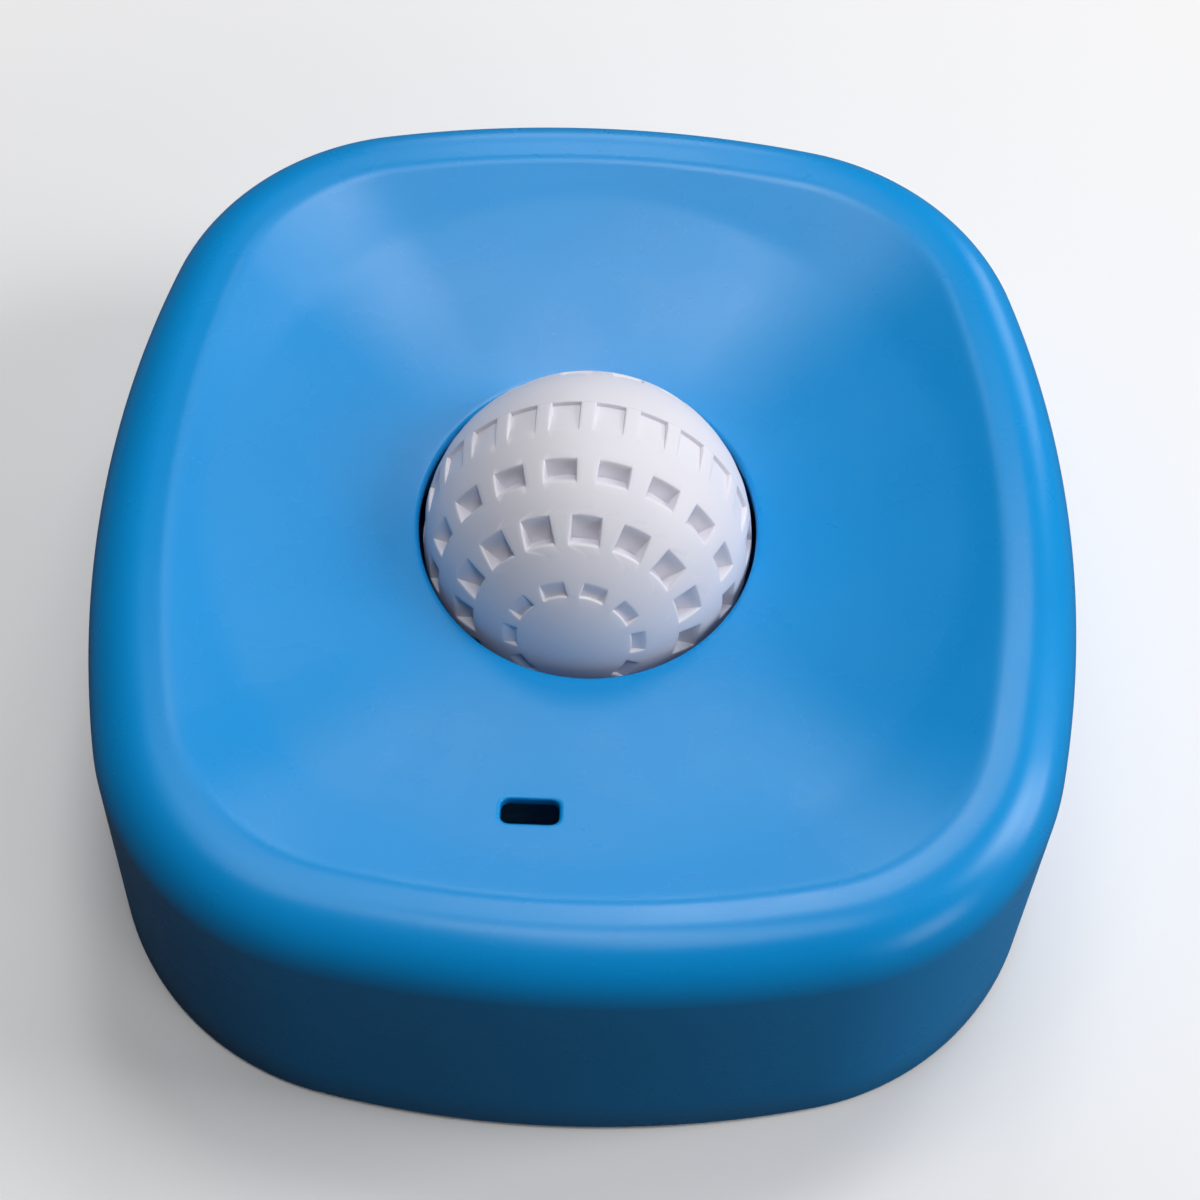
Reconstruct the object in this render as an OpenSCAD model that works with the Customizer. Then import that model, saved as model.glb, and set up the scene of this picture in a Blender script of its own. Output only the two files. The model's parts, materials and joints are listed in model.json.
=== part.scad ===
// Lick bowl: a one-piece shell with a dished top stands over a water tank, and a notched ball turns in
// the middle of the dish and carries water up to the tongue.
// Millimetres, +Z up, front at -Y, origin on the table under the middle of the bowl.

/* [Plan] */
// Width over the rim, left to right
rim_w = 200; // [185:1:225]
// Depth over the rim, front to back
rim_d = 210; // [190:1:230]
// Radius of the four corners
corner_r = 57; // [52:1:62]
// Half the turn of the bowed left and right sides, in degrees
side_turn = 14; // [11:0.5:17]
// Half the turn of the bowed front and back, in degrees
end_turn = 12; // [9:0.5:15]

/* [Shell] */
// Radius of the rim's rolled outer edge
roll_r = 12.5; // [11.5:0.1:13.5]
// Flat on top of the rim
rim_flat = 2.5; // [1.5:0.1:3.5]
// Width of the rim's eased inner edge
crest_w = 2.6; // [2:0.1:3.2]
// Fall over the rim's eased inner edge
crest_fall = 0.45; // [0.3:0.05:0.6]
// How far the foot of the skirt stands out beyond the rim
skirt_flare = 5.7; // [1:0.1:9]
// Room between the skirt's lower edge and the table
skirt_gap = 1.2; // [0.5:0.1:1.8]
// Wall of the shell
shell_t = 2.5; // [2:0.1:3]

/* [Dish] */
// Depth of the ball hole's edge below the top of the rim
dish_depth = 13.5; // [12:0.1:15]
// Rise of the dish's round middle away from the hole, in degrees
dish_rise = 10.5; // [9:0.5:11.5]
// Length of the collar that hangs round the ball
collar_h = 9; // [5:0.5:12]
// Wall of the collar
collar_t = 2.2; // [1.6:0.1:3]

/* [Drain slot] */
// Width of the slot, left to right
slot_w = 11; // [6:0.2:16]
// Length of the slot, front to back
slot_l = 5.6; // [4.6:0.2:9]
// Radius of the slot's corners
slot_r = 1.2; // [0.5:0.1:2]
// Place of the slot's middle, left to right and front to back
slot_at = [-9.1, -68.9]; // [-72:0.1:72]

/* [Ball] */
// Radius of the ball
ball_r = 34.5; // [32:0.5:38]
// Depth of the ball's centre below the edge of its hole
ball_sink = 5.8; // [5:0.1:9]
// Gap between the ball at its widest and the edge of its hole
hole_gap = 1.3; // [0.8:0.05:1.8]
// Wall of the ball's half shells
ball_wall = 5.5; // [5:0.1:7]
// Height of the ball's pole above level
pole_tilt = 18; // [0:1:60]
// Turn of the ball's pole to the left of the front
pole_turn = 4; // [-30:1:30]
// Height of the tongue that joins the half shells
tongue_h = 3; // [2:0.5:5]
// Thickness of the tongue
tongue_t = 1.6; // [1.2:0.1:2]
// Clearance round the tongue
tongue_fit = 0.15; // [0.1:0.05:0.3]

/* [Notches] */
// Notches in each ring, from the pole to the equator
notch_count = [10, 15, 18, 24]; // [6:1:24]
// Angle from the pole to the inner wall of each ring, in degrees
notch_from = [19.5, 36.8, 57, 76.5]; // [16:0.1:78]
// Angle from the pole to the outer end of each ring, in degrees
notch_to = [24.5, 46.3, 65.3, 91]; // [20:0.1:92]
// Width of the notches in each ring
notch_w = [4.7, 5.8, 6.3, 5.8]; // [3:0.1:7]
// Turn of each ring about the pole, in degrees
notch_turn = [3, 16.5, 0.5, 10]; // [0:0.5:36]

/* [Tank] */
// Height of the tank's underside above the table
tank_rise = 5; // [4.5:0.1:8]
// Wall of the tank
tank_t = 2.5; // [2:0.1:3.5]
// Thickness of the tank's floor
floor_t = 2.5; // [2:0.1:4]
// Room between the shell's wall and the tank's lip
tank_gap = 2.5; // [1.5:0.1:3.5]
// Overhang of the lip outside the tank's wall
lip_w = 4; // [3:0.1:5]
// Thickness of the lip
lip_t = 3; // [2.6:0.1:4]
// Drop of the lip below the top of the rim
lip_drop = 14; // [13:0.1:17]
// Draft of the tank's wall over its height
tank_draft = 1.5; // [0.5:0.1:3]

/* [Seal] */
// Width of the seal ring
seal_w = 4.4; // [4:0.1:4.8]
// Depth of the seal's channel in the lip
channel_d = 1; // [0.6:0.1:1.4]
// Height of the seal above the lip
seal_proud = 2; // [1.5:0.1:3]
// Clearance on each side of the seal in its channel
seal_fit = 0.15; // [0.1:0.05:0.3]
// Thickness of the two ribs under the rim
rib_t = 2; // [1.6:0.1:2.2]
// Reach of the guide rib into the tank's mouth
guide_h = 4; // [2:0.5:7]
// Clearance between the guide rib and the tank's wall
guide_fit = 0.5; // [0.3:0.1:1]

/* [Cradle] */
// Room between the ball's lowest point and the tank's floor
ball_clear = 10.9; // [8:0.1:12]
// Radius of the seat ring at its middle
cradle_r = 22; // [19:0.5:25]
// Thickness of the seat ring
cradle_t = 5; // [4:0.5:6]
// Running gap between the ball and its seat
seat_gap = 0.3; // [0.3:0.05:0.5]
// Radius of the cradle's base flange
cradle_base_r = 33; // [30:0.5:36]
// Thickness of the base flange
cradle_base_t = 2.5; // [2:0.1:3]
// Number of water openings round the cradle
port_count = 4; // [3:1:6]
// Width of each water opening
port_w = 14; // [8:0.5:16]
// Height of each water opening
port_h = 6; // [4.5:0.5:7]
// Wall of the ring on the floor that holds the cradle
keeper_t = 2.4; // [1.6:0.1:3]
// Height of that ring
keeper_h = 3; // [2:0.5:5]
// Clearance between that ring and the base flange
keeper_fit = 0.3; // [0.2:0.05:0.6]

/* [Feet] */
// Radius of each foot
foot_r = 8; // [6:0.5:10]
// Height of each foot
foot_h = 3; // [2.6:0.1:3.4]
// Depth of the seat that each foot sits in
foot_seat = 1; // [0.6:0.1:1.2]
// Distance of the feet from the rim's outline at the corners
foot_inset = 34; // [28:1:40]
// Radius of the stem on each foot
stem_r = 3; // [2:0.1:4]
// Height of the stem
stem_h = 2.4; // [1.6:0.1:2.8]
// Clearance round the foot and its stem
foot_fit = 0.2; // [0.1:0.05:0.4]
// Wall of the boss round each foot
boss_wall = 2; // [1.5:0.1:3]

/* [Hidden] */
shell_blue = "#2f8fdd";
ball_white = "#dcdbe2";
seal_grey = "#8c9298";
foot_black = "#33363a";

// Facets of round edges and of the large arcs
round_fn = 96;
sweep_fn = 360;
// Overlap of joined shapes, and overshoot of cuts
lap = 10;
over = 1;

// Heights, stacked from the table up
floor_top = tank_rise + floor_t;
ball_z = floor_top + ball_clear + ball_r;
hole_z = ball_z + ball_sink;
rim_z = hole_z + dish_depth;
roll_z = rim_z - roll_r;
tank_z = rim_z - lip_drop;
seal_top = tank_z + seal_proud;
high = rim_z + ball_r;

// Plan of the rim: bowed sides and ends joined by corner arcs that are tangent to them
side_k = rim_d / 2 - corner_r * (cos(end_turn) - sin(side_turn));
end_k = rim_w / 2 - corner_r * (cos(side_turn) - sin(end_turn));
plan_k = sin(side_turn) * sin(end_turn) - (1 - cos(side_turn)) * (1 - cos(end_turn));
side_r = (side_k * sin(end_turn) - end_k * (1 - cos(end_turn))) / plan_k;
end_r = (end_k * sin(side_turn) - side_k * (1 - cos(side_turn))) / plan_k;
corner_x = (end_r - corner_r) * sin(end_turn);
corner_y = (side_r - corner_r) * sin(side_turn);

// Distances s are measured inwards from the rim's outline
bank_s = roll_r + rim_flat + crest_w;
bank_z = rim_z - crest_fall;
reach = corner_r - 2;
core_s = reach - 3;
lip_s = shell_t + tank_gap;
wall_s = lip_s + lip_w;
guide_s = wall_s + tank_t + guide_fit;
seal_s = lip_s + (wall_s + tank_t - lip_s - seal_w) / 2;
press_s = seal_s + (seal_w - rib_t) / 2;
press_top = roll_z + sqrt(pow(roll_r - shell_t / 2, 2) - pow(roll_r - press_s, 2));

// Dish: a round middle that rises from the hole, and a bank that runs down from the rim to meet it
hole_r = ball_r + hole_gap;
collar_low = hole_z - shell_t / 2 - collar_h;
dish_out = min(rim_w, rim_d) / 2 - lap;
bank_foot = dish_at(min(rim_w, rim_d) / 2 - core_s);
bank_slope = (bank_z - bank_foot) / (core_s - bank_s);

// Ball's joint, half way between the hollow and the notches at the equator
ball_in = ball_r - ball_wall;
tongue_mid = (ball_in + ball_r * sin(notch_from[3])) / 2;

// Place of the feet, on the corners' diagonals, and the height of their bosses
boss_h = tank_rise + floor_t / 2 - foot_h + foot_seat;
foot_x = corner_x + (corner_r - foot_inset) * cos(45);
foot_y = corner_y + (corner_r - foot_inset) * sin(45);

// Height of the dish's round middle at a radius
function dish_at(r) = hole_z + (r - hole_r) * tan(dish_rise);

// Height of the bank at a distance in from the rim's outline
function bank_at(s) = bank_z - (s - bank_s) * bank_slope;

// Place of the skirt's outer face at a height
function skirt_at(z) = -skirt_flare * (roll_z - z) / (roll_z - skirt_gap);

// Many-sided middle of the plan, a distance in from the rim's outline
function core_outline(s) =
  let (
    arc = corner_r - s,
    near_side = [corner_x + arc * cos(side_turn), corner_y + arc * sin(side_turn)],
    near_end = [corner_x + arc * sin(end_turn), corner_y + arc * cos(end_turn)],
    half = [
      [rim_w / 2 - s, 0],
      near_side,
      near_end,
      [0, rim_d / 2 - s],
      [-near_end.x, near_end.y],
      [-near_side.x, near_side.y]
    ]
  )
  concat(half, -half);

// A vector to the nearest hundredth
function hundredths(v) = [for (part = v) round(part * 100) / 100];

// Moves by the hundredths and then by the rest, so that neighbouring arcs meet exactly
module shift(v) {
  translate(hundredths(v))
    translate(v - hundredths(v))
      children();
}

// One arc of the outline, carrying a section whose x runs inwards from the rim's outline
module arc_run(radius, from, sweep) {
  rotate_extrude(angle = sweep, start = from, $fn = sweep_fn)
    shift([radius, 0])
      mirror([1, 0])
        children();
}

// A section carried all round the rim's outline
module around() {
  for (flip = [0, 1])
    mirror([flip, 0, 0])
      shift([rim_w / 2 - side_r, 0, 0])
        arc_run(side_r, -side_turn, 2 * side_turn)
          children();
  for (flip = [0, 1])
    mirror([0, flip, 0])
      shift([0, rim_d / 2 - end_r, 0])
        arc_run(end_r, 90 - end_turn, 2 * end_turn)
          children();
  for (flip_x = [0, 1], flip_y = [0, 1])
    mirror([flip_x, 0, 0])
      mirror([0, flip_y, 0])
        shift([corner_x, corner_y, 0])
          arc_run(corner_r, side_turn, 90 - side_turn - end_turn)
            children();
}

// Rectangle in a section, from its inner and outer distances and its heights
module band(s, width, low, top) {
  translate([s, low])
    square([width, top - low]);
}

// Corner piece to take off a section to round it
module rounding(centre, radius, room) {
  difference() {
    translate([centre.x + min(room.x, 0), centre.y])
      square([abs(room.x), room.y]);
    translate(centre)
      circle(radius, $fn = round_fn);
  }
}

// Section under the shell's skin: skirt, rolled rim and bank, set inwards by a thickness
module skin_section(inset, low) {
  difference() {
    polygon([
      [reach, low],
      [reach, bank_at(reach) - inset],
      [bank_s, bank_z - inset],
      [roll_r + rim_flat, rim_z - inset],
      [inset, rim_z - inset],
      [inset, roll_z],
      [skirt_at(low) + inset, low]
    ]);
    rounding([roll_r, roll_z], roll_r - inset, [-roll_r - over, roll_r + over]);
  }
}

// Solid under the shell's skin and the dish's round middle, set inwards by a thickness
module under_skin(inset, low) {
  around()
    skin_section(inset, low);
  rotate_extrude($fn = sweep_fn)
    polygon([
      [hole_r - lap, low],
      [dish_out, low],
      [dish_out, dish_at(dish_out) - inset],
      [hole_r - lap, dish_at(hole_r - lap) - inset]
    ]);
}

// Drain slot with rounded corners
module drain_slot() {
  translate([slot_at.x, slot_at.y, tank_rise])
    linear_extrude(high)
      union() {
        square([slot_w, slot_l - 2 * slot_r], center = true);
        square([slot_w - 2 * slot_r, slot_l], center = true);
        for (x = [-1, 1], y = [-1, 1])
          translate([x * (slot_w / 2 - slot_r), y * (slot_l / 2 - slot_r)])
            circle(slot_r, $fn = round_fn);
      }
}

// Plain ring standing on a level
module ring(inner, outer, low, top) {
  translate([0, 0, low])
    difference() {
      cylinder(r = outer, h = top - low, $fn = sweep_fn);
      translate([0, 0, -over])
        cylinder(r = inner, h = top - low + 2 * over, $fn = sweep_fn);
    }
}

// Dish, rolled rim and flared skirt in one moulding, with the ball's collar and two ribs underneath
module bowl_shell() {
  color(shell_blue) {
    difference() {
      union() {
        difference() {
          under_skin(0, skirt_gap);
          under_skin(shell_t, skirt_gap - over);
        }
        translate([0, 0, collar_low])
          cylinder(r = hole_r + collar_t, h = collar_h, $fn = sweep_fn);
      }
      translate([0, 0, collar_low - over])
        cylinder(r = hole_r, h = high, $fn = sweep_fn);
      drain_slot();
    }
    around()
      band(press_s, rib_t, seal_top, press_top);
    around()
      band(guide_s, rib_t, tank_z - guide_h, rim_z - shell_t / 2);
  }
}

// Soft ring in the tank's lip, which the shell's press rib rests on
module rim_seal() {
  color(seal_grey)
    around()
      band(seal_s, seal_w, tank_z - channel_d, seal_top);
}

// Open tank with a lip for the seal, a keeper ring for the cradle and a boss for each foot
module water_tank() {
  color(shell_blue)
    difference() {
      union() {
        around()
          difference() {
            polygon([
              [lip_s, tank_z],
              [lip_s, tank_z - lip_t],
              [wall_s, tank_z - lip_t],
              [wall_s + tank_draft, tank_rise],
              [reach, tank_rise],
              [reach, floor_top],
              [wall_s + tank_draft + tank_t, floor_top],
              [wall_s + tank_t, tank_z]
            ]);
            band(seal_s - seal_fit, seal_w + 2 * seal_fit, tank_z - channel_d, tank_z + over);
          }
        translate([0, 0, tank_rise])
          linear_extrude(floor_t)
            polygon(core_outline(core_s));
        ring(
          cradle_base_r + keeper_fit, cradle_base_r + keeper_fit + keeper_t,
          floor_top - floor_t / 2, floor_top + keeper_h
        );
        at_feet()
          translate([0, 0, foot_h - foot_seat])
            cylinder(r = foot_r + boss_wall, h = boss_h, $fn = round_fn);
      }
      at_feet() {
        translate([0, 0, foot_h - foot_seat - over])
          cylinder(r = foot_r + foot_fit, h = foot_seat + over, $fn = round_fn);
        translate([0, 0, foot_h - over])
          cylinder(r = stem_r + foot_fit, h = stem_h + foot_fit + over, $fn = round_fn);
      }
    }
}

// Ring seat under the ball, on a flange, with openings that let the water through
module ball_cradle() {
  seat_in = cradle_r - cradle_t / 2;
  seat_out = cradle_r + cradle_t / 2;
  port_low = floor_top + cradle_base_t;
  color(ball_white)
    difference() {
      union() {
        ring(seat_in, seat_out, floor_top, ball_z);
        ring(seat_in, cradle_base_r, floor_top, floor_top + cradle_base_t);
      }
      translate([0, 0, ball_z])
        sphere(ball_r + seat_gap, $fn = sweep_fn / 2);
      for (i = [0 : port_count - 1])
        rotate(i * 360 / port_count)
          translate([0, -port_w / 2, port_low])
            cube([seat_out + over, port_w, port_h]);
    }
}

// Moves the ball's own axes, with the pole along +Z, to the ball's place
module at_ball() {
  translate([0, 0, ball_z])
    rotate([90 - pole_tilt, 0, -pole_turn])
      children();
}

// Steps cut into the ball in a ring: a wall along the polar axis and a floor square to it
module notch_ring(i) {
  wall_r = ball_r * sin(notch_from[i]);
  for (k = [0 : notch_count[i] - 1])
    rotate(notch_turn[i] + k * 360 / notch_count[i])
      translate([wall_r, -notch_w[i] / 2, ball_r * cos(notch_to[i])])
        cube([ball_r - wall_r + over, notch_w[i], ball_r]);
}

// Hollow half ball on the +Z side of the equator
module half_ball(rings) {
  difference() {
    sphere(ball_r, $fn = sweep_fn / 2);
    sphere(ball_in, $fn = sweep_fn / 2);
    translate([-ball_r - over, -ball_r - over, -ball_r - over])
      cube([2 * (ball_r + over), 2 * (ball_r + over), ball_r + over]);
    for (i = [0 : rings - 1])
      notch_ring(i);
  }
}

// Front half of the ball, notched down to the equator, with the tongue
module ball_front_shell() {
  color(ball_white)
    at_ball() {
      half_ball(4);
      ring(tongue_mid - tongue_t / 2, tongue_mid + tongue_t / 2, -tongue_h, over);
    }
}

// Rear half of the ball, plain next to the equator, with the groove for the tongue
module ball_rear_shell() {
  color(ball_white)
    at_ball()
      rotate([180, 0, 0])
        difference() {
          half_ball(3);
          ring(
            tongue_mid - tongue_t / 2 - tongue_fit, tongue_mid + tongue_t / 2 + tongue_fit,
            -over, tongue_h + tongue_fit
          );
        }
}

// Places a shape at every foot
module at_feet() {
  for (x = [-1, 1], y = [-1, 1])
    translate([x * foot_x, y * foot_y, 0])
      children();
}

// Round foot with a stem that presses up into its boss
module foot(x, y) {
  color(foot_black)
    translate([x * foot_x, y * foot_y, 0]) {
      cylinder(r = foot_r, h = foot_h, $fn = round_fn);
      cylinder(r = stem_r, h = foot_h + stem_h, $fn = round_fn);
    }
}

bowl_shell();
rim_seal();
water_tank();
ball_cradle();
ball_front_shell();
ball_rear_shell();
foot(-1, -1);  // foot_front_left
foot(1, -1);  // foot_front_right
foot(-1, 1);  // foot_rear_left
foot(1, 1);  // foot_rear_right
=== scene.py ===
"""Looks of the lick bowl: smooth meshes for the shell and the ball, plastics, light and camera."""

import json
import math
from collections import namedtuple

import bpy
from mathutils import Euler, Matrix, Vector

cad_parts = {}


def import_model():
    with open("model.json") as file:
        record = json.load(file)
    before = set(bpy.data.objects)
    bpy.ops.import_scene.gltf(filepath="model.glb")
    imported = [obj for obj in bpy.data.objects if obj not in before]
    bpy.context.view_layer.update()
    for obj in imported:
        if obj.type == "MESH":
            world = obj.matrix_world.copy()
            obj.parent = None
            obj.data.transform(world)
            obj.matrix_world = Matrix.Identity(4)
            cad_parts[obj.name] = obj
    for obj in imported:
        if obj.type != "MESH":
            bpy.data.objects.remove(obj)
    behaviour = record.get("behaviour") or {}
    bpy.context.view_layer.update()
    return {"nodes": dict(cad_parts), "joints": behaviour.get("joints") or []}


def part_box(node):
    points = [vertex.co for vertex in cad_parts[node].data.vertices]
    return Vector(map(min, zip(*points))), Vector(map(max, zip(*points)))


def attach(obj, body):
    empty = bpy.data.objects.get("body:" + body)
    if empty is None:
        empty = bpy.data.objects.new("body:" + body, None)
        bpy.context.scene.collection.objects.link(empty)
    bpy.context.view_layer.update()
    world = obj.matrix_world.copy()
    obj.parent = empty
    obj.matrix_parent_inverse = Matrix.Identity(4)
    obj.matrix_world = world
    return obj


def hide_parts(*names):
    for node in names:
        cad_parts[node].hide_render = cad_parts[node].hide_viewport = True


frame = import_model()

# Lengths are in millimetres and angles in degrees, as in the solids; meshes are made in metres.
# Bearings over the dish are in radians.
MM = 0.001

# Plan of the rim
RIM_W, RIM_D, CORNER_R = 200.0, 210.0, 57.0
SIDE_TURN, END_TURN = 14.0, 12.0
SIDE_STEPS, CORNER_STEPS = 48, 36

# Section of the shell; s is the distance inwards from the rim's outline
RIM_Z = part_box("bowl_shell")[1].z / MM
ROLL_R, RIM_FLAT = 12.5, 2.5
ROLL_Z = RIM_Z - ROLL_R
FLAT_S = ROLL_R + RIM_FLAT
SKIRT_FLARE, SKIRT_GAP, SHELL_T = 5.7, 1.2, 2.5
SKIRT_LEAN = math.degrees(math.atan2(SKIRT_FLARE, ROLL_Z - SKIRT_GAP))
FOOT_EDGE = 0.6
ROLL_STEPS, ROOF_STEPS, SKIRT_STEPS, SKIRT_IN_STEPS, FOOT_STEPS = 22, 8, 5, 4, 3
SHELL_SHARP = 50

# Ribs under the rim
RIB_T, PRESS_S, GUIDE_S, GUIDE_DROP = 2.0, 7.25, 12.0, 4.0
RIB_ROOM = 1.0
SEAL_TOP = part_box("rim_seal")[1].z / MM
GUIDE_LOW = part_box("water_tank")[1].z / MM - GUIDE_DROP

# Ball and its hole, with a thin lip over a collar that stands back
BALL_R, BALL_SINK, BALL_WALL, HOLE_GAP = 34.5, 5.8, 5.5, 1.3
BALL_Z = next(j for j in frame["joints"] if j["name"] == "ball_roll")["pos_m"][2] / MM
HOLE_Z = BALL_Z + BALL_SINK
HOLE_R = BALL_R + HOLE_GAP
LIP_IN, LIP_R, LIP_T, LIP_STRETCH, LIP_STEPS = 0.6, 1.0, 1.6, 1.045, 5
COLLAR_STEP, COLLAR_T, COLLAR_H = 1.4, 2.2, 9.0

# The dish rises to a faint crease, and from there a steeper bank runs up to the rim
EDGE_S, EDGE_SOFT, EDGE_ROUNDS = 16.6, 0.6, 8
CREASE_X, CREASE_Y, CREASE_SOFT = 77.3, 81.5, 0.2
BANK_EXTRA, DISH_BOW = 0.15, 0.8
DISH_ROWS, UNDER_ROOM = 84, 0.5

# Drain slot, the room round it that its rings of points take up, and the share of a side in each bend
SLOT_W, SLOT_L, SLOT_R, SLOT_EDGE = 11.0, 5.6, 1.7, 0.7
SLOT_X, SLOT_Y = -9.1, -68.9
SLOT_ROOM_X, SLOT_ROOM_Y, SLOT_RINGS = 3.2, 2.6, 6
SLOT_TURNS = (30, 60, 90)
BEND_SHARE = 0.2

# Rings of notches on the ball: how many, angles from the pole, width, turn, lean of the inner wall
Ring = namedtuple("Ring", "count low high width turn lean")
NOTCH_RINGS = (
    Ring(10, 19.5, 24.5, 4.7, 3.0, 20.0),
    Ring(15, 36.8, 46.3, 5.8, 16.5, 20.0),
    Ring(18, 57.0, 65.3, 6.3, 0.5, 20.0),
    Ring(24, 76.5, 90.0, 5.8, 10.0, 0.0),
)
REAR_RINGS = NOTCH_RINGS[:3]
EQUATOR = 90
POLE_TILT, POLE_TURN = 18.0, 4.0
NOTCH_EDGE, NOTCH_STEPS, NOTCH_TURNS = 0.35, 3, (90, 60, 30, 0)
NOTCH_WALL_SHARES, NOTCH_FLOOR_SHARES = (0.4, 0.7, 1.0), (0.25, 0.5, 0.75)
SEAM_EDGE = 0.15
CAP_ANGLES, CAP_COLUMNS = (1.5, 4, 7, 10, 13, 16), 96
BAND_STEPS, BAND_COLUMNS = 4, 240
HOLLOW_ANGLES, HOLLOW_COLUMNS = (90, 75, 60, 45, 30, 15), 120
BALL_SHARP = 40

# Plastics: gloss, scale and detail of each noise, and how far polish and grain go
GLOSS = 0.36
DRIFT_NOISE, POLISH_NOISE, GRAIN_NOISE = (18.0, 3.0), (60.0, 4.0), (2600.0, 2.0)
DRIFT_RANGE = (0.3, 0.7)
POLISH_SPREAD, GRAIN_DEPTH = 0.05, 0.05

# Camera, as fitted to the photograph
CAMERA_LENS, CAMERA_SENSOR, CAMERA_NEAR = 54.44, 36, 10.0
CAMERA_AIM = Vector((3.37, -2.35, 30.0))
CAMERA_AZIMUTH, CAMERA_ELEVATION, CAMERA_ROLL = -1.54, 59.92, 3.39
CAMERA_DISTANCE = 401.4

# Soft square lamps, in metres: angle from straight above, bearing from the right, size, power in watts
LAMP_AIM, LAMP_DISTANCE = Vector((0, 0, 0.05)), 1.3
SMALL_LAMP, LARGE_LAMP = 0.26, 0.42
LAMPS = (
    (4, 270, SMALL_LAMP, 1.6),
    (20, 70, SMALL_LAMP, 2.3),
    (20, 95, SMALL_LAMP, 0.6),
    (20, 130, SMALL_LAMP, 0.7),
    (32, 50, SMALL_LAMP, 1.2),
    (45, 90, SMALL_LAMP, 0.8),
    (18, 180, LARGE_LAMP, 1.3),
    (18, 300, LARGE_LAMP, 2.0),
    (54, 0, LARGE_LAMP, 4.8),
    (54, 90, LARGE_LAMP, 0.8),
    (74, 0, LARGE_LAMP, 3.0),
    (74, 45, LARGE_LAMP, 1.5),
    (74, 90, LARGE_LAMP, 1.2),
    (74, 320, LARGE_LAMP, 1.5),
)

# Floor and surroundings, in metres: white for the camera and dark for all other rays
BACKGROUND, SURROUNDINGS = (0.92, 0.915, 0.92), (0.02, 0.02, 0.021)
FLOOR_SEEN, FLOOR_UNSEEN = (0.95, 0.95, 0.96), (0.08, 0.08, 0.085)
FLOOR_SIZE, FLOOR_ROUGHNESS, FLOOR_GLOSS = 6, 0.9, 0.1
FLOOR_FADE = (0.15, 0.45)


# Helpers


def sin(degrees):
    return math.sin(math.radians(degrees))


def cos(degrees):
    return math.cos(math.radians(degrees))


def spread(low, high, steps):
    """Evenly spaced values from low to high, both included."""
    return [low + (high - low) * i / steps for i in range(steps + 1)]


def between(a, b, share):
    """Point that lies a share of the way from one point of a plane to another."""
    return a[0] + (b[0] - a[0]) * share, a[1] + (b[1] - a[1]) * share


def bezier(points, steps):
    """Points along a Bezier curve of any order, without its first point."""
    made = []
    for share in spread(0, 1, steps)[1:]:
        line = [Vector(p) for p in points]
        while len(line) > 1:
            line = [a.lerp(b, share) for a, b in zip(line, line[1:])]
        made.append(tuple(line[0]))
    return made


def smooth_min(a, b, soft):
    """The lower of two heights, rounded where they cross."""
    blend = max(soft - abs(a - b), 0.0) / soft
    return min(a, b) - blend * blend * soft / 4


def neighbours(loop):
    """Each vertex of a closed loop with the one after it."""
    return zip(loop, loop[1:] + loop[:1])


def strip(lower, upper):
    """Quads between two closed loops of as many vertices."""
    return [(a, b, d, c) for (a, b), (c, d) in zip(neighbours(lower), neighbours(upper))]


def add_loop(vertices, points):
    """Adds points to a list of vertices and gives their numbers."""
    vertices.extend(points)
    return list(range(len(vertices) - len(points), len(vertices)))


def add_piece(name, vertices, faces, sharp):
    """A mesh object from millimetre points, smooth except at edges sharper than an angle."""
    mesh = bpy.data.meshes.new(name)
    mesh.from_pydata([Vector(v) * MM for v in vertices], [], faces)
    mesh.validate()
    mesh.shade_smooth()
    mesh.set_sharp_from_angle(angle=math.radians(sharp))
    piece = bpy.data.objects.new(name, mesh)
    bpy.context.scene.collection.objects.link(piece)
    return piece


# Plan


def plan_radii():
    """Radii of the bowed sides and of the bowed front and back, tangent to the corners."""
    side_k = RIM_D / 2 - CORNER_R * (cos(END_TURN) - sin(SIDE_TURN))
    end_k = RIM_W / 2 - CORNER_R * (cos(SIDE_TURN) - sin(END_TURN))
    plan_k = sin(SIDE_TURN) * sin(END_TURN) - (1 - cos(SIDE_TURN)) * (1 - cos(END_TURN))
    side = (side_k * sin(END_TURN) - end_k * (1 - cos(END_TURN))) / plan_k
    end = (end_k * sin(SIDE_TURN) - side_k * (1 - cos(SIDE_TURN))) / plan_k
    return side, end


SIDE_R, END_R = plan_radii()
SIDE_X, END_Y = RIM_W / 2 - SIDE_R, RIM_D / 2 - END_R
CORNER_X, CORNER_Y = (END_R - CORNER_R) * sin(END_TURN), (SIDE_R - CORNER_R) * sin(SIDE_TURN)


def outline_stations():
    """Centre, radius and direction of each station round the rim, anticlockwise from the right."""
    arcs = [
        ((SIDE_X, 0), SIDE_R, -SIDE_TURN, SIDE_TURN, SIDE_STEPS),
        ((CORNER_X, CORNER_Y), CORNER_R, SIDE_TURN, 90 - END_TURN, CORNER_STEPS),
        ((0, END_Y), END_R, 90 - END_TURN, 90 + END_TURN, SIDE_STEPS),
        ((-CORNER_X, CORNER_Y), CORNER_R, 90 + END_TURN, 180 - SIDE_TURN, CORNER_STEPS),
    ]
    arcs += [((-x, -y), r, a + 180, b + 180, n) for (x, y), r, a, b, n in arcs]
    return [(c, r, a) for c, r, low, high, n in arcs for a in spread(low, high, n)[:-1]]


def inset(station, s):
    """Point at a distance inwards from a station on the rim's outline."""
    (x, y), radius, angle = station
    return x + (radius - s) * cos(angle), y + (radius - s) * sin(angle)


STATIONS = outline_stations()
RIM_EDGE = [inset(station, FLAT_S) for station in STATIONS]
BEARINGS = [math.atan2(y, x) for x, y in RIM_EDGE]


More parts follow.
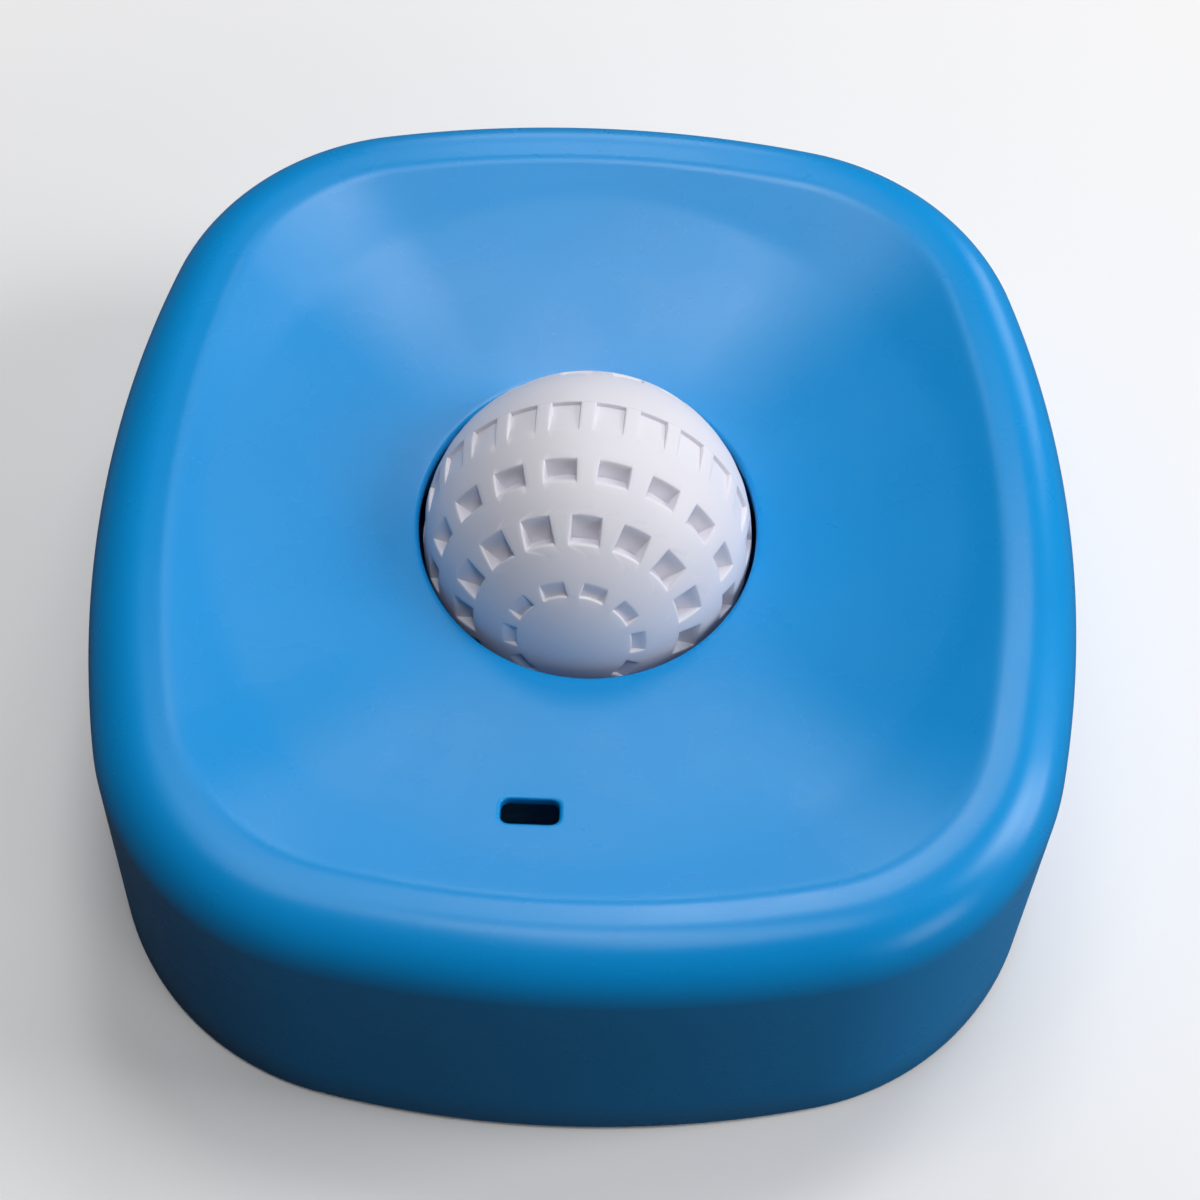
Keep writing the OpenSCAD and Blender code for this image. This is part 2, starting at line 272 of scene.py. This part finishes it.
def distance_in(x, y):
    """How far a point lies inwards from the rim's outline."""
    x, y = abs(x), abs(y)
    dx, dy = x - CORNER_X, y - CORNER_Y
    turn = math.degrees(math.atan2(dy, dx))
    if SIDE_TURN <= turn <= 90 - END_TURN:
        return CORNER_R - math.hypot(dx, dy)
    return min(SIDE_R - math.hypot(x - SIDE_X, y), END_R - math.hypot(x, y - END_Y))


# Surface of the dish and its bank


def edge_radius(bearing):
    """Radius, in a direction, at which the bank would come up level with the rim."""
    x, y = math.cos(bearing), math.sin(bearing)
    radius = RIM_W / 2
    for _ in range(EDGE_ROUNDS):
        radius += distance_in(radius * x, radius * y) - EDGE_S
    return radius


def top_at(x, y):
    """Height of the upper surface inside the rim."""
    radius, bearing = math.hypot(x, y), math.atan2(y, x)
    edge = edge_radius(bearing)
    crease = 1 / math.hypot(math.cos(bearing) / CREASE_X, math.sin(bearing) / CREASE_Y)
    slope = (RIM_Z - HOLE_Z - BANK_EXTRA * (edge - crease)) / (edge - HOLE_R)
    part = (radius - HOLE_R) / (crease - HOLE_R)
    dish = HOLE_Z + slope * (radius - HOLE_R) - 4 * DISH_BOW * part * (1 - part)
    bank = RIM_Z - (slope + BANK_EXTRA) * (edge - radius)
    return smooth_min(RIM_Z, -smooth_min(-dish, -bank, CREASE_SOFT), EDGE_SOFT)


def below_top(points, drop):
    """Points of the plan lifted to a depth below the upper surface."""
    return [(x, y, top_at(x, y) - drop) for x, y in points]


# Rim and lip of the shell


def roof(s):
    """Section point on the underside of the roll."""
    return s, ROLL_Z + math.sqrt((ROLL_R - SHELL_T) ** 2 - (ROLL_R - s) ** 2)


def rim_underside():
    """Section points from under the rim's inner edge round both ribs and down the inside of the skirt."""
    flat_low = RIM_Z - SHELL_T
    press_end, guide_end = PRESS_S + RIB_T, GUIDE_S + RIB_T
    points = [(FLAT_S, flat_low), (ROLL_R, flat_low), roof(guide_end), (guide_end, GUIDE_LOW)]
    points += [(GUIDE_S, GUIDE_LOW), roof(GUIDE_S), roof(press_end + RIB_ROOM), roof(press_end)]
    points += [(press_end, SEAL_TOP), (PRESS_S, SEAL_TOP)]
    points += [roof(s) for s in spread(PRESS_S, SHELL_T, ROOF_STEPS)]
    high, low = (SHELL_T, ROLL_Z), (SHELL_T - SKIRT_FLARE, SKIRT_GAP)
    return points + [between(high, low, share) for share in spread(0, 1, SKIRT_IN_STEPS)[1:-1]]


def rim_outside():
    """Section points from the skirt's foot up the skirt and over the roll to the rim's inner edge."""
    out_s, in_s, edge_z = -SKIRT_FLARE, SHELL_T - SKIRT_FLARE, SKIRT_GAP + FOOT_EDGE
    foot = [(in_s, edge_z), (in_s - FOOT_EDGE, SKIRT_GAP), (out_s + FOOT_EDGE, SKIRT_GAP)]
    foot += bezier([foot[-1], (out_s, SKIRT_GAP), (out_s, edge_z)], FOOT_STEPS)
    turns = spread(SKIRT_LEAN, 90, ROLL_STEPS)
    roll = [(ROLL_R - ROLL_R * cos(a), ROLL_Z + ROLL_R * sin(a)) for a in turns]
    skirt = [between(foot[-1], roll[0], share) for share in spread(0, 1, SKIRT_STEPS)[1:-1]]
    return foot + skirt + roll + [(FLAT_S, RIM_Z)]


def lip_section():
    """Points (radius, height, stretch) from the dish over the hole's thin lip and round the collar."""
    lip_r = HOLE_R - LIP_IN
    lip_z = top_at(lip_r, 0)
    collar_in, collar_out = HOLE_R + COLLAR_STEP, HOLE_R + COLLAR_T
    collar_low = HOLE_Z - SHELL_T / 2 - COLLAR_H
    lip = [(lip_r + LIP_R, top_at(lip_r + LIP_R, 0))]
    lip += bezier([lip[0], (lip_r, lip_z), (lip_r, lip_z - LIP_R)], LIP_STEPS)
    lip += [(lip_r, lip_z - LIP_T)]
    collar = [(collar_in, lip_z - SHELL_T), (collar_in, collar_low), (collar_out, collar_low)]
    collar += [(collar_out, top_at(collar_out, 0) - SHELL_T)]
    return [(r, z, LIP_STRETCH) for r, z in lip] + [(r, z, 1) for r, z in collar]


def lip_loop(radius, height, stretch):
    """One loop of the lip, deeper than wide by the stretch, that follows the dish's height."""
    points = []
    for a in BEARINGS:
        reach = radius / math.hypot(math.cos(a), math.sin(a) / stretch)
        x, y = reach * math.cos(a), reach * math.sin(a)
        points.append((x, y, height + top_at(x, y) - top_at(radius, 0)))
    return points


# Drain slot


def slot_loop(counts, grow):
    """Rounded outline of the drain slot, grown by a length, with a given number of steps on each side."""
    half_w, half_l = SLOT_W / 2 - SLOT_R, SLOT_L / 2 - SLOT_R
    corners = [(-half_w, -half_l), (half_w, -half_l), (half_w, half_l), (-half_w, half_l)]
    radius = SLOT_R + grow
    points = []
    for side, ((start, end), steps) in enumerate(zip(neighbours(corners), counts)):
        for share in spread(0, 1, steps)[:-1]:
            leaving, arriving = min(share / BEND_SHARE, 1), max(1 - (1 - share) / BEND_SHARE, 0)
            turn = 225 + 90 * side + 45 * (leaving + arriving)
            run = min(max((share - BEND_SHARE) / (1 - 2 * BEND_SHARE), 0), 1)
            x, y = between(start, end, run)
            points.append((SLOT_X + x + radius * cos(turn), SLOT_Y + y + radius * sin(turn)))
    return points


def slot_block(rows):
    """First and last row and column of the block of cells that makes room for the slot."""
    slot_r, slot_bearing = math.hypot(SLOT_X, SLOT_Y), math.atan2(SLOT_Y, SLOT_X)
    half_turn, half_r = (SLOT_W / 2 + SLOT_ROOM_X) / slot_r, SLOT_L / 2 + SLOT_ROOM_Y
    columns = [j for j, bearing in enumerate(BEARINGS) if abs(bearing - slot_bearing) < half_turn]
    middle = columns[len(columns) // 2]
    across = [k for k, row in enumerate(rows) if abs(math.hypot(*row[middle]) - slot_r) < half_r]
    return across[0], across[-1], columns[0], columns[-1]


def block_edge(skin, k0, k1, j0, j1):
    """Numbers of the vertices round a block of cells."""
    path = [(k0, j) for j in range(j0, j1)] + [(k, j1) for k in range(k0, k1)]
    path += [(k1, j) for j in range(j1, j0, -1)] + [(k, j0) for k in range(k1, k0, -1)]
    return [skin[k][j] for k, j in path]


def cut_slot(vertices, faces, rows, top, under):
    """Takes a block of cells out of both skins, and gives rings of faces from its edge to the slot."""
    k0, k1, j0, j1 = slot_block(rows)
    for k in range(k0, k1):
        for j in range(j0, j1):
            faces.pop((top[k][j], top[k + 1][j]))
            faces.pop((under[k + 1][j], under[k][j]))
    edge_top, edge_under = block_edge(top, k0, k1, j0, j1), block_edge(under, k0, k1, j0, j1)
    counts = (j1 - j0, k1 - k0, j1 - j0, k1 - k0)
    mouth = slot_loop(counts, SLOT_EDGE)

    def ring(points, drop):
        return add_loop(vertices, below_top(points, drop))

    def inwards(share):
        return [between(vertices[i], point, share) for i, point in zip(edge_top, mouth)]

    shares = spread(0, 1, SLOT_RINGS)[1:]
    path = [edge_top] + [ring(inwards(share), 0) for share in shares]
    for turn in SLOT_TURNS:
        path.append(ring(slot_loop(counts, SLOT_EDGE * (1 - sin(turn))), SLOT_EDGE * (1 - cos(turn))))
    path.append(ring(slot_loop(counts, 0), SHELL_T))
    path += [ring(inwards(share), SHELL_T) for share in reversed(shares[:-1])] + [edge_under]
    return [face for lower, upper in zip(path, path[1:]) for face in strip(lower, upper)]


# Shell


def bowl_shell():
    """One closed skin: rows of the dish, its lip, its underside and the rim joined in a ring."""
    vertices, lip = [], lip_section()
    lip_edge = lip_loop(*lip[0])
    rows = [
        [between(a, b, share) for a, b in zip(RIM_EDGE, lip_edge)]
        for share in spread(0, 1, DISH_ROWS)[1:-1]
    ]
    collar_out = lip[-1][0] + UNDER_ROOM
    clear = [row for row in rows if min(math.hypot(*point) for point in row) > collar_out]

    top = [add_loop(vertices, below_top(row, 0)) for row in rows]
    ring = [add_loop(vertices, lip_loop(*point)) for point in lip]
    under = [add_loop(vertices, below_top(row, SHELL_T)) for row in clear]
    section = rim_underside() + rim_outside()
    rim = [add_loop(vertices, [(*inset(p, s), z) for p in STATIONS]) for s, z in section]

    loops = neighbours(top + ring + under[::-1] + rim)
    faces = {(face[0], face[3]): face for lower, upper in loops for face in strip(lower, upper)}
    slot_faces = cut_slot(vertices, faces, rows, top, under)
    piece = add_piece("shell_moulding", vertices, [*faces.values(), *slot_faces], SHELL_SHARP)
    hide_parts("bowl_shell")
    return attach(piece, "shell")


# Ball


def notch_profile(ring):
    """Points (angle from the pole, depth) of a notch: over its edge, down the wall, along the floor."""
    edge = math.degrees(NOTCH_EDGE / BALL_R)
    wall_r, top_h = BALL_R * sin(ring.low), BALL_R * cos(ring.low)
    out_r, floor_h = BALL_R * sin(ring.high), BALL_R * cos(ring.high)
    foot_r = wall_r - (top_h - floor_h) * math.tan(math.radians(ring.lean))

    def on_ball(angle):
        return BALL_R * sin(angle), BALL_R * cos(angle)

    points = [on_ball(ring.low - edge)]
    points += bezier([points[0], (wall_r, top_h), (wall_r, top_h - NOTCH_EDGE)], NOTCH_STEPS)
    points += [between((wall_r, top_h), (foot_r, floor_h), share) for share in NOTCH_WALL_SHARES]
    if ring.high < EQUATOR:
        points += [between((foot_r, floor_h), (out_r, floor_h), share) for share in NOTCH_FLOOR_SHARES]
        brink = [(out_r - NOTCH_EDGE, floor_h), (out_r, floor_h), on_ball(ring.high + edge)]
        points += bezier(brink, NOTCH_STEPS)
    return [(math.degrees(math.atan2(r, h)), BALL_R - math.hypot(r, h)) for r, h in points]


def notch_columns(ring, angle, depth):
    """(bearing, depth) of each column of a ring of notches at an angle from the pole."""
    loop_r = BALL_R * sin(angle)
    gap, pitch = math.pi * loop_r / ring.count, 360 / ring.count
    edge, half_w = min(NOTCH_EDGE, depth), ring.width / 2
    half = [(0.0, depth), (half_w / 2, depth), (half_w, depth)]
    half += [(half_w + NOTCH_EDGE * (1 - sin(a)), edge * (1 - cos(a))) for a in NOTCH_TURNS]
    half += [((half[-1][0] + gap) / 2, 0.0)]
    cell = [(-y, d) for y, d in half[:0:-1]] + half + [(gap, 0.0)]
    starts = [ring.turn + k * pitch for k in range(ring.count)]
    return [(start + math.degrees(y / loop_r), d) for start in starts for y, d in cell]


def plain_loop(angle, count, depth=0.0):
    """Angle from the pole and evenly spaced columns of a loop at one depth."""
    return angle, [(bearing, depth) for bearing in spread(0, 360, count)[:-1]]


def ball_loops(rings):
    """Loops (angle, columns) from the pole over the notches, across the seam and into the hollow."""
    loops = [plain_loop(angle, CAP_COLUMNS) for angle in CAP_ANGLES]
    ends = [ring.low for ring in rings[1:]] + [EQUATOR]
    for ring, end in zip(rings, ends):
        loops += [(angle, notch_columns(ring, angle, depth)) for angle, depth in notch_profile(ring)]
        if ring.high < EQUATOR:
            band = spread(ring.high, end, BAND_STEPS)[1:-1]
            loops += [plain_loop(angle, BAND_COLUMNS) for angle in band]
    if rings[-1].high < EQUATOR:
        loops.append(plain_loop(EQUATOR - math.degrees(SEAM_EDGE / BALL_R), BAND_COLUMNS))
        loops.append(plain_loop(EQUATOR, BAND_COLUMNS, SEAM_EDGE))
    return loops + [plain_loop(angle, HOLLOW_COLUMNS, BALL_WALL) for angle in HOLLOW_ANGLES]


def ball_point(angle, bearing, radius):
    """Point at an angle from the pole and a bearing round it."""
    return radius * sin(angle) * cos(bearing), radius * sin(angle) * sin(bearing), radius * cos(angle)


def from_zero(loop, bearings):
    """(bearing, vertex) once round a loop from its first bearing past zero, and on to that one again."""
    first = min(range(len(loop)), key=lambda i: bearings[i] % 360)
    run = [(bearings[i] % 360, loop[i]) for i in [*range(first, len(loop)), *range(first)]]
    return run + [(run[0][0] + 360, run[0][1])]


def stitch(upper, lower):
    """Faces between two loops round the pole that may differ in their number of vertices."""
    a, b = upper[0], lower[0]
    if len(a) == len(b):
        return [(p, r, s, q) for (p, q), (r, s) in zip(neighbours(a), neighbours(b))]
    a_run, b_run = from_zero(*upper), from_zero(*lower)
    i = j = 0
    made = []
    while i < len(a) or j < len(b):
        if j == len(b) or (i < len(a) and a_run[i + 1][0] <= b_run[j + 1][0]):
            made.append((a_run[i][1], b_run[j][1], a_run[i + 1][1]))
            i += 1
        else:
            made.append((a_run[i][1], b_run[j][1], b_run[j + 1][1]))
            j += 1
    return made


def ball_place(flip):
    """Place of a half ball whose pole was made pointing up; flip turns it to the far side."""
    turn = Euler((math.radians(90 - POLE_TILT), 0, -math.radians(POLE_TURN))).to_matrix().to_4x4()
    place = Matrix.Translation((0, 0, BALL_Z)) @ turn
    return place @ Matrix.Rotation(math.pi, 4, "X") if flip else place


def half_ball(name, rings, flip, node):
    """Half shell of the ball, closed at the pole outside and at the pole of the hollow inside."""
    vertices, loops = [(0, 0, BALL_R)], []
    for angle, columns in ball_loops(rings):
        points = [ball_point(angle, bearing, BALL_R - depth) for bearing, depth in columns]
        loops.append((add_loop(vertices, points), [bearing for bearing, _ in columns]))
    vertices.append((0, 0, BALL_R - BALL_WALL))

    inner_pole = len(vertices) - 1
    faces = [(0, a, b) for a, b in neighbours(loops[0][0])]
    for upper, lower in zip(loops, loops[1:]):
        faces += stitch(upper, lower)
    faces += [(a, inner_pole, b) for a, b in neighbours(loops[-1][0])]

    place = ball_place(flip)
    piece = add_piece(name, [place @ Vector(v) for v in vertices], faces, BALL_SHARP)
    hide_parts(node)
    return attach(piece, "ball")


# Materials


def add_noise(tree, scale, detail):
    """Output of a noise over the object's own coordinates."""
    where = tree.nodes.new("ShaderNodeTexCoord")
    noise = tree.nodes.new("ShaderNodeTexNoise")
    noise.inputs["Scale"].default_value = scale
    noise.inputs["Detail"].default_value = detail
    tree.links.new(where.outputs["Object"], noise.inputs["Vector"])
    return noise.outputs["Fac"]


def add_drift(tree, shader, colour, tone):
    """Colour that drifts a little darker and lighter over the piece."""
    ramp = tree.nodes.new("ShaderNodeValToRGB")
    dark, light = ramp.color_ramp.elements
    dark.position, light.position = DRIFT_RANGE
    dark.color = (*[c * (1 - tone) for c in colour], 1)
    light.color = (*[min(c * (1 + tone), 1) for c in colour], 1)
    tree.links.new(add_noise(tree, *DRIFT_NOISE), ramp.inputs["Fac"])
    tree.links.new(ramp.outputs["Color"], shader.inputs["Base Color"])


def add_polish(tree, shader, roughness):
    """Uneven polish."""
    limits = tree.nodes.new("ShaderNodeMapRange")
    limits.inputs["To Min"].default_value = roughness - POLISH_SPREAD
    limits.inputs["To Max"].default_value = roughness + POLISH_SPREAD
    tree.links.new(add_noise(tree, *POLISH_NOISE), limits.inputs["Value"])
    tree.links.new(limits.outputs["Result"], shader.inputs["Roughness"])


def add_grain(tree, shader, grain):
    """Fine grain of the mould."""
    bump = tree.nodes.new("ShaderNodeBump")
    bump.inputs["Strength"].default_value = grain
    bump.inputs["Distance"].default_value = GRAIN_DEPTH * MM
    tree.links.new(add_noise(tree, *GRAIN_NOISE), bump.inputs["Height"])
    tree.links.new(bump.outputs["Normal"], shader.inputs["Normal"])


def plastic(name, colour, roughness, grain, tone):
    """Moulded plastic or rubber: slight drift in tone, an uneven polish and a fine grain."""
    material = bpy.data.materials.new(name)
    material.use_nodes = True
    tree = material.node_tree
    shader = tree.nodes["Principled BSDF"]
    shader.inputs["Specular IOR Level"].default_value = GLOSS
    add_drift(tree, shader, colour, tone)
    add_polish(tree, shader, roughness)
    add_grain(tree, shader, grain)
    return material


def paint(piece, material):
    """Gives a piece one material in place of those it has."""
    piece.data.materials.clear()
    piece.data.materials.append(material)


# Stage


def camera_colour(tree, rays, seen, unseen):
    """Output of a colour that differs between the camera's rays and all others."""
    mix = tree.nodes.new("ShaderNodeMix")
    mix.data_type = "RGBA"
    mix.inputs["A"].default_value = (*unseen, 1)
    mix.inputs["B"].default_value = (*seen, 1)
    tree.links.new(rays.outputs["Is Camera Ray"], mix.inputs["Factor"])
    return mix.outputs["Result"]


def camera_fade(tree, rays):
    """Output that is 0 near the bowl and, for the camera alone, rises to 1 far off."""
    where = tree.nodes.new("ShaderNodeTexCoord")
    reach = tree.nodes.new("ShaderNodeVectorMath")
    reach.operation = "LENGTH"
    tree.links.new(where.outputs["Object"], reach.inputs[0])
    fade = tree.nodes.new("ShaderNodeMapRange")
    fade.interpolation_type = "SMOOTHSTEP"
    fade.inputs["From Min"].default_value, fade.inputs["From Max"].default_value = FLOOR_FADE
    tree.links.new(reach.outputs["Value"], fade.inputs["Value"])
    seen = tree.nodes.new("ShaderNodeMath")
    seen.operation = "MULTIPLY"
    tree.links.new(fade.outputs["Result"], seen.inputs[0])
    tree.links.new(rays.outputs["Is Camera Ray"], seen.inputs[1])
    return seen.outputs["Value"]


def floor_material():
    """Pale near the bowl, where it keeps the shadow, and plain white far off."""
    material = bpy.data.materials.new("floor")
    material.use_nodes = True
    tree = material.node_tree
    rays = tree.nodes.new("ShaderNodeLightPath")
    shader = tree.nodes["Principled BSDF"]
    shader.inputs["Roughness"].default_value = FLOOR_ROUGHNESS
    shader.inputs["Specular IOR Level"].default_value = FLOOR_GLOSS
    tree.links.new(camera_colour(tree, rays, FLOOR_SEEN, FLOOR_UNSEEN), shader.inputs["Base Color"])
    far_off = tree.nodes.new("ShaderNodeEmission")
    far_off.inputs["Color"].default_value = (*BACKGROUND, 1)
    blend = tree.nodes.new("ShaderNodeMixShader")
    tree.links.new(camera_fade(tree, rays), blend.inputs["Fac"])
    tree.links.new(shader.outputs["BSDF"], blend.inputs[1])
    tree.links.new(far_off.outputs["Emission"], blend.inputs[2])
    tree.links.new(blend.outputs["Shader"], tree.nodes["Material Output"].inputs["Surface"])
    return material


def floor():
    """The table under the bowl."""
    bpy.ops.mesh.primitive_plane_add(size=FLOOR_SIZE, location=(0, 0, 0))
    plane = bpy.context.object
    plane.name = "floor"
    plane.data.materials.append(floor_material())


def world():
    """Surroundings that are white to the camera and give off next to no light."""
    made = bpy.data.worlds.new("world")
    bpy.context.scene.world = made
    made.use_nodes = True
    tree = made.node_tree
    rays = tree.nodes.new("ShaderNodeLightPath")
    colour = camera_colour(tree, rays, BACKGROUND, SURROUNDINGS)
    tree.links.new(colour, tree.nodes["Background"].inputs["Color"])


def softbox(zenith, bearing, size, power):
    """A square lamp that faces the bowl."""
    name = f"softbox_{zenith}_{bearing}"
    light = bpy.data.lights.new(name, "AREA")
    light.size, light.energy = size, power
    lamp = bpy.data.objects.new(name, light)
    bpy.context.scene.collection.objects.link(lamp)
    away = Vector((sin(zenith) * cos(bearing), sin(zenith) * sin(bearing), cos(zenith)))
    lamp.location = LAMP_AIM + away * LAMP_DISTANCE
    lamp.rotation_euler = (-away).to_track_quat("-Z", "Y").to_euler()


def camera():
    """The photograph's view: azimuth and elevation about the aim, and a roll about the line of sight."""
    made = bpy.data.cameras.new("camera")
    made.lens, made.sensor_width, made.clip_start = CAMERA_LENS, CAMERA_SENSOR, CAMERA_NEAR * MM
    eye = bpy.data.objects.new("camera", made)
    bpy.context.scene.collection.objects.link(eye)
    away = cos(CAMERA_ELEVATION)
    back = Vector((sin(CAMERA_AZIMUTH) * away, -cos(CAMERA_AZIMUTH) * away, sin(CAMERA_ELEVATION)))
    level = Vector((cos(CAMERA_AZIMUTH), sin(CAMERA_AZIMUTH), 0))
    upright = back.cross(level)
    right = level * cos(CAMERA_ROLL) + upright * sin(CAMERA_ROLL)
    up = upright * cos(CAMERA_ROLL) - level * sin(CAMERA_ROLL)
    turn = Matrix((right, up, back)).transposed().to_4x4()
    eye.matrix_world = Matrix.Translation((CAMERA_AIM + back * CAMERA_DISTANCE) * MM) @ turn
    bpy.context.scene.camera = eye


# The scene

camera()
floor()
world()
for lamp in LAMPS:
    softbox(*lamp)

blue = plastic("blue_plastic", (0.003, 0.295, 0.73), roughness=0.28, grain=0.15, tone=0.03)
white = plastic("white_plastic", (0.79, 0.775, 0.84), roughness=0.5, grain=0.2, tone=0.02)
seal_rubber = plastic("seal_rubber", (0.26, 0.28, 0.30), roughness=0.6, grain=0.4, tone=0.05)
foot_rubber = plastic("foot_rubber", (0.035, 0.038, 0.042), roughness=0.7, grain=0.5, tone=0.08)

paint(bowl_shell(), blue)
paint(half_ball("ball_front", NOTCH_RINGS, False, "ball_front_shell"), white)
paint(half_ball("ball_rear", REAR_RINGS, True, "ball_rear_shell"), white)
paint(frame["nodes"]["water_tank"], blue)
paint(frame["nodes"]["ball_cradle"], white)
paint(frame["nodes"]["rim_seal"], seal_rubber)
for node, part in frame["nodes"].items():
    if node.startswith("foot_"):
        paint(part, foot_rubber)

bpy.context.scene.view_settings.view_transform = "Standard"
